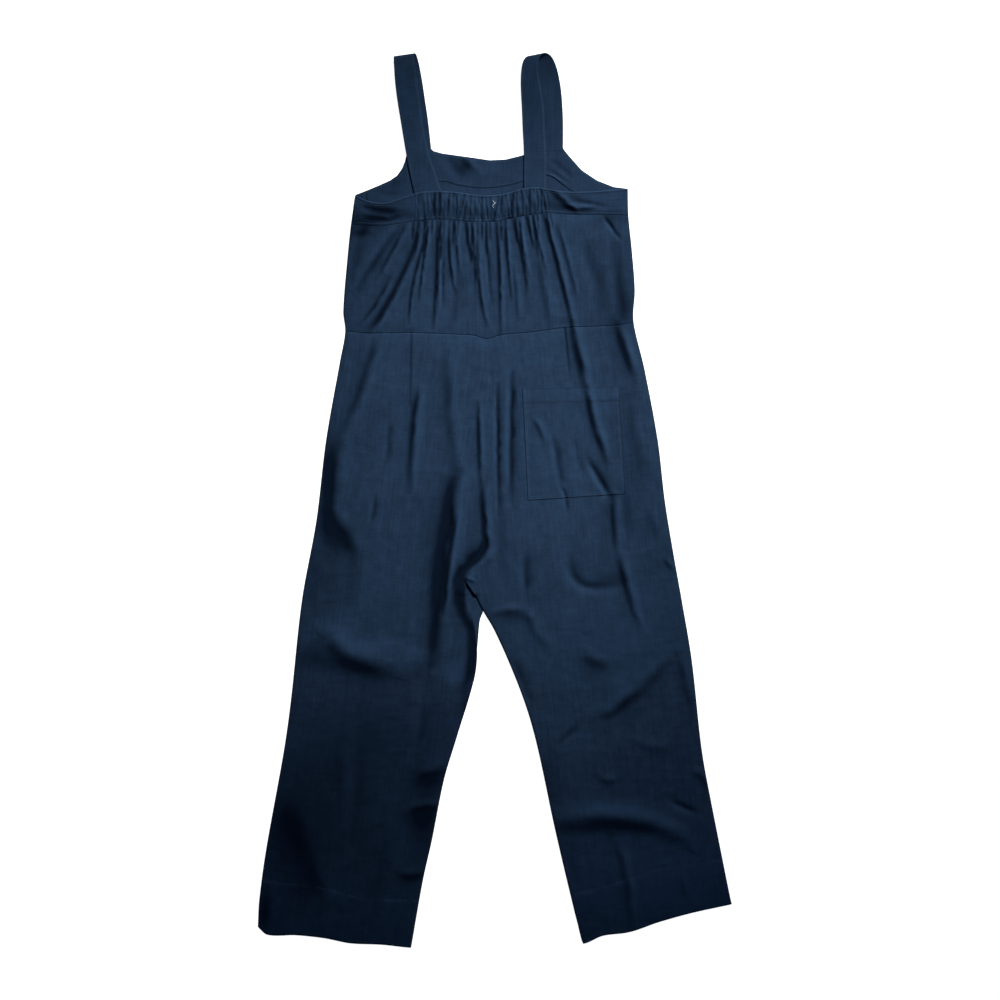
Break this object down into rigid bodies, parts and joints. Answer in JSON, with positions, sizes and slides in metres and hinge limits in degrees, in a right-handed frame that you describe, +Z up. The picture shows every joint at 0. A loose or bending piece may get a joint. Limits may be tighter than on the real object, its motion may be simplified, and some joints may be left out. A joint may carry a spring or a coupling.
{
  "type": "jumpsuit",
  "caption": "Cropped wide-leg linen jumpsuit with shoulder straps, an elastic casing across the back and a patch pocket, laid flat with its back up",
  "frame": {"origin": "the middle of the garment's outline, on the surface that it lies on", "axes": "+X across the garment towards the wearer's right, +Y along it from the hems towards the shoulders, +Z up out of the back"},
  "size_m": [0.688, 1.2969, 0.0136],
  "materials": {
    "linen": "plain-woven navy linen, soft and matt, slightly slubbed",
    "thread": "navy sewing thread, slightly lighter than the cloth",
    "tack_thread": "white tacking thread"
  },
  "bodies": {
    "root": {"front_bodice": "linen", "front_facing": "linen", "leg_front_left": "linen", "leg_front_right": "linen", "strap_left": "linen", "strap_right": "linen", "back_bodice": "linen", "back_band": "linen", "leg_back_left": "linen", "leg_back_right": "linen", "back_pocket": "linen"}
  },
  "joints": []
}
